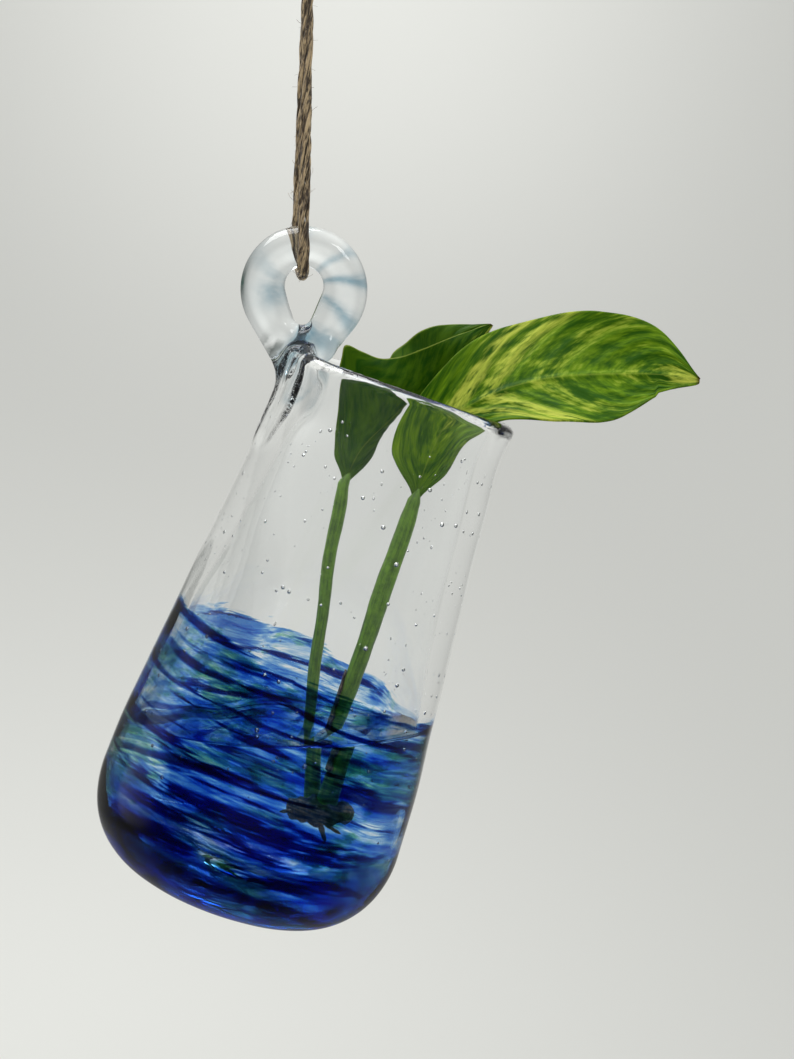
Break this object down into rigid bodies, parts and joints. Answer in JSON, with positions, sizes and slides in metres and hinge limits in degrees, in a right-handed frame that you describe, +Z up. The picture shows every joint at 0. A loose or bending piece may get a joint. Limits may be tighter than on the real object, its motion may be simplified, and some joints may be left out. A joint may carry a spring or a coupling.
{
  "type": "hanging propagation vase",
  "caption": "Thick blown-glass propagation vase with a blue swirl in its lower half, hung tilted by a glass loop on twine, holding water and a leafy cutting.",
  "frame": {"origin": "where a hook carries the twine's hang loop, inside the top of the loop", "axes": "+Z up along the hanging twine, +X towards the side that the mouth leans to, +Y away from the viewer"},
  "size_m": [0.1414, 0.076, 0.2656],
  "materials": {
    "clear_glass": "gloss",
    "blue_glass": "gloss",
    "water": "gloss",
    "jute": "matte",
    "leaf": "satin",
    "petiole": "satin",
    "bark": "matte"
  },
  "bodies": {
    "hanger": {"twine_hang_loop": "jute", "twine_knot": "jute"},
    "twine": {"twine_legs": "jute"},
    "vase": {"clear_body": "clear_glass", "blue_lining": "blue_glass", "hanging_loop": "clear_glass", "water_fill": "water"},
    "cutting": {"stem_node": "bark", "rootlets": "bark", "petiole_small": "petiole", "petiole_large": "petiole", "petiole_sheath": "bark", "leaf_large": "leaf", "leaf_small": "leaf"}
  },
  "joints": [
    {"name": "twine_twist", "type": "hinge", "parent": "hanger", "child": "twine", "pos_m": [0, 0, -0.0374], "axis": [0, 0, 1], "range_deg": [-180, 180]},
    {"name": "vase_swing", "type": "hinge", "parent": "twine", "child": "vase", "pos_m": [0, 0, -0.1111], "axis": [0, 1, 0], "range_deg": [-18.9, 25], "deforming": ["water_fill"]},
    {"name": "cutting_lift", "type": "slide", "parent": "vase", "child": "cutting", "axis": [0.3239, 0, 0.9461], "range_m": [0, 0.13], "deforming": ["water_fill"]}
  ]
}
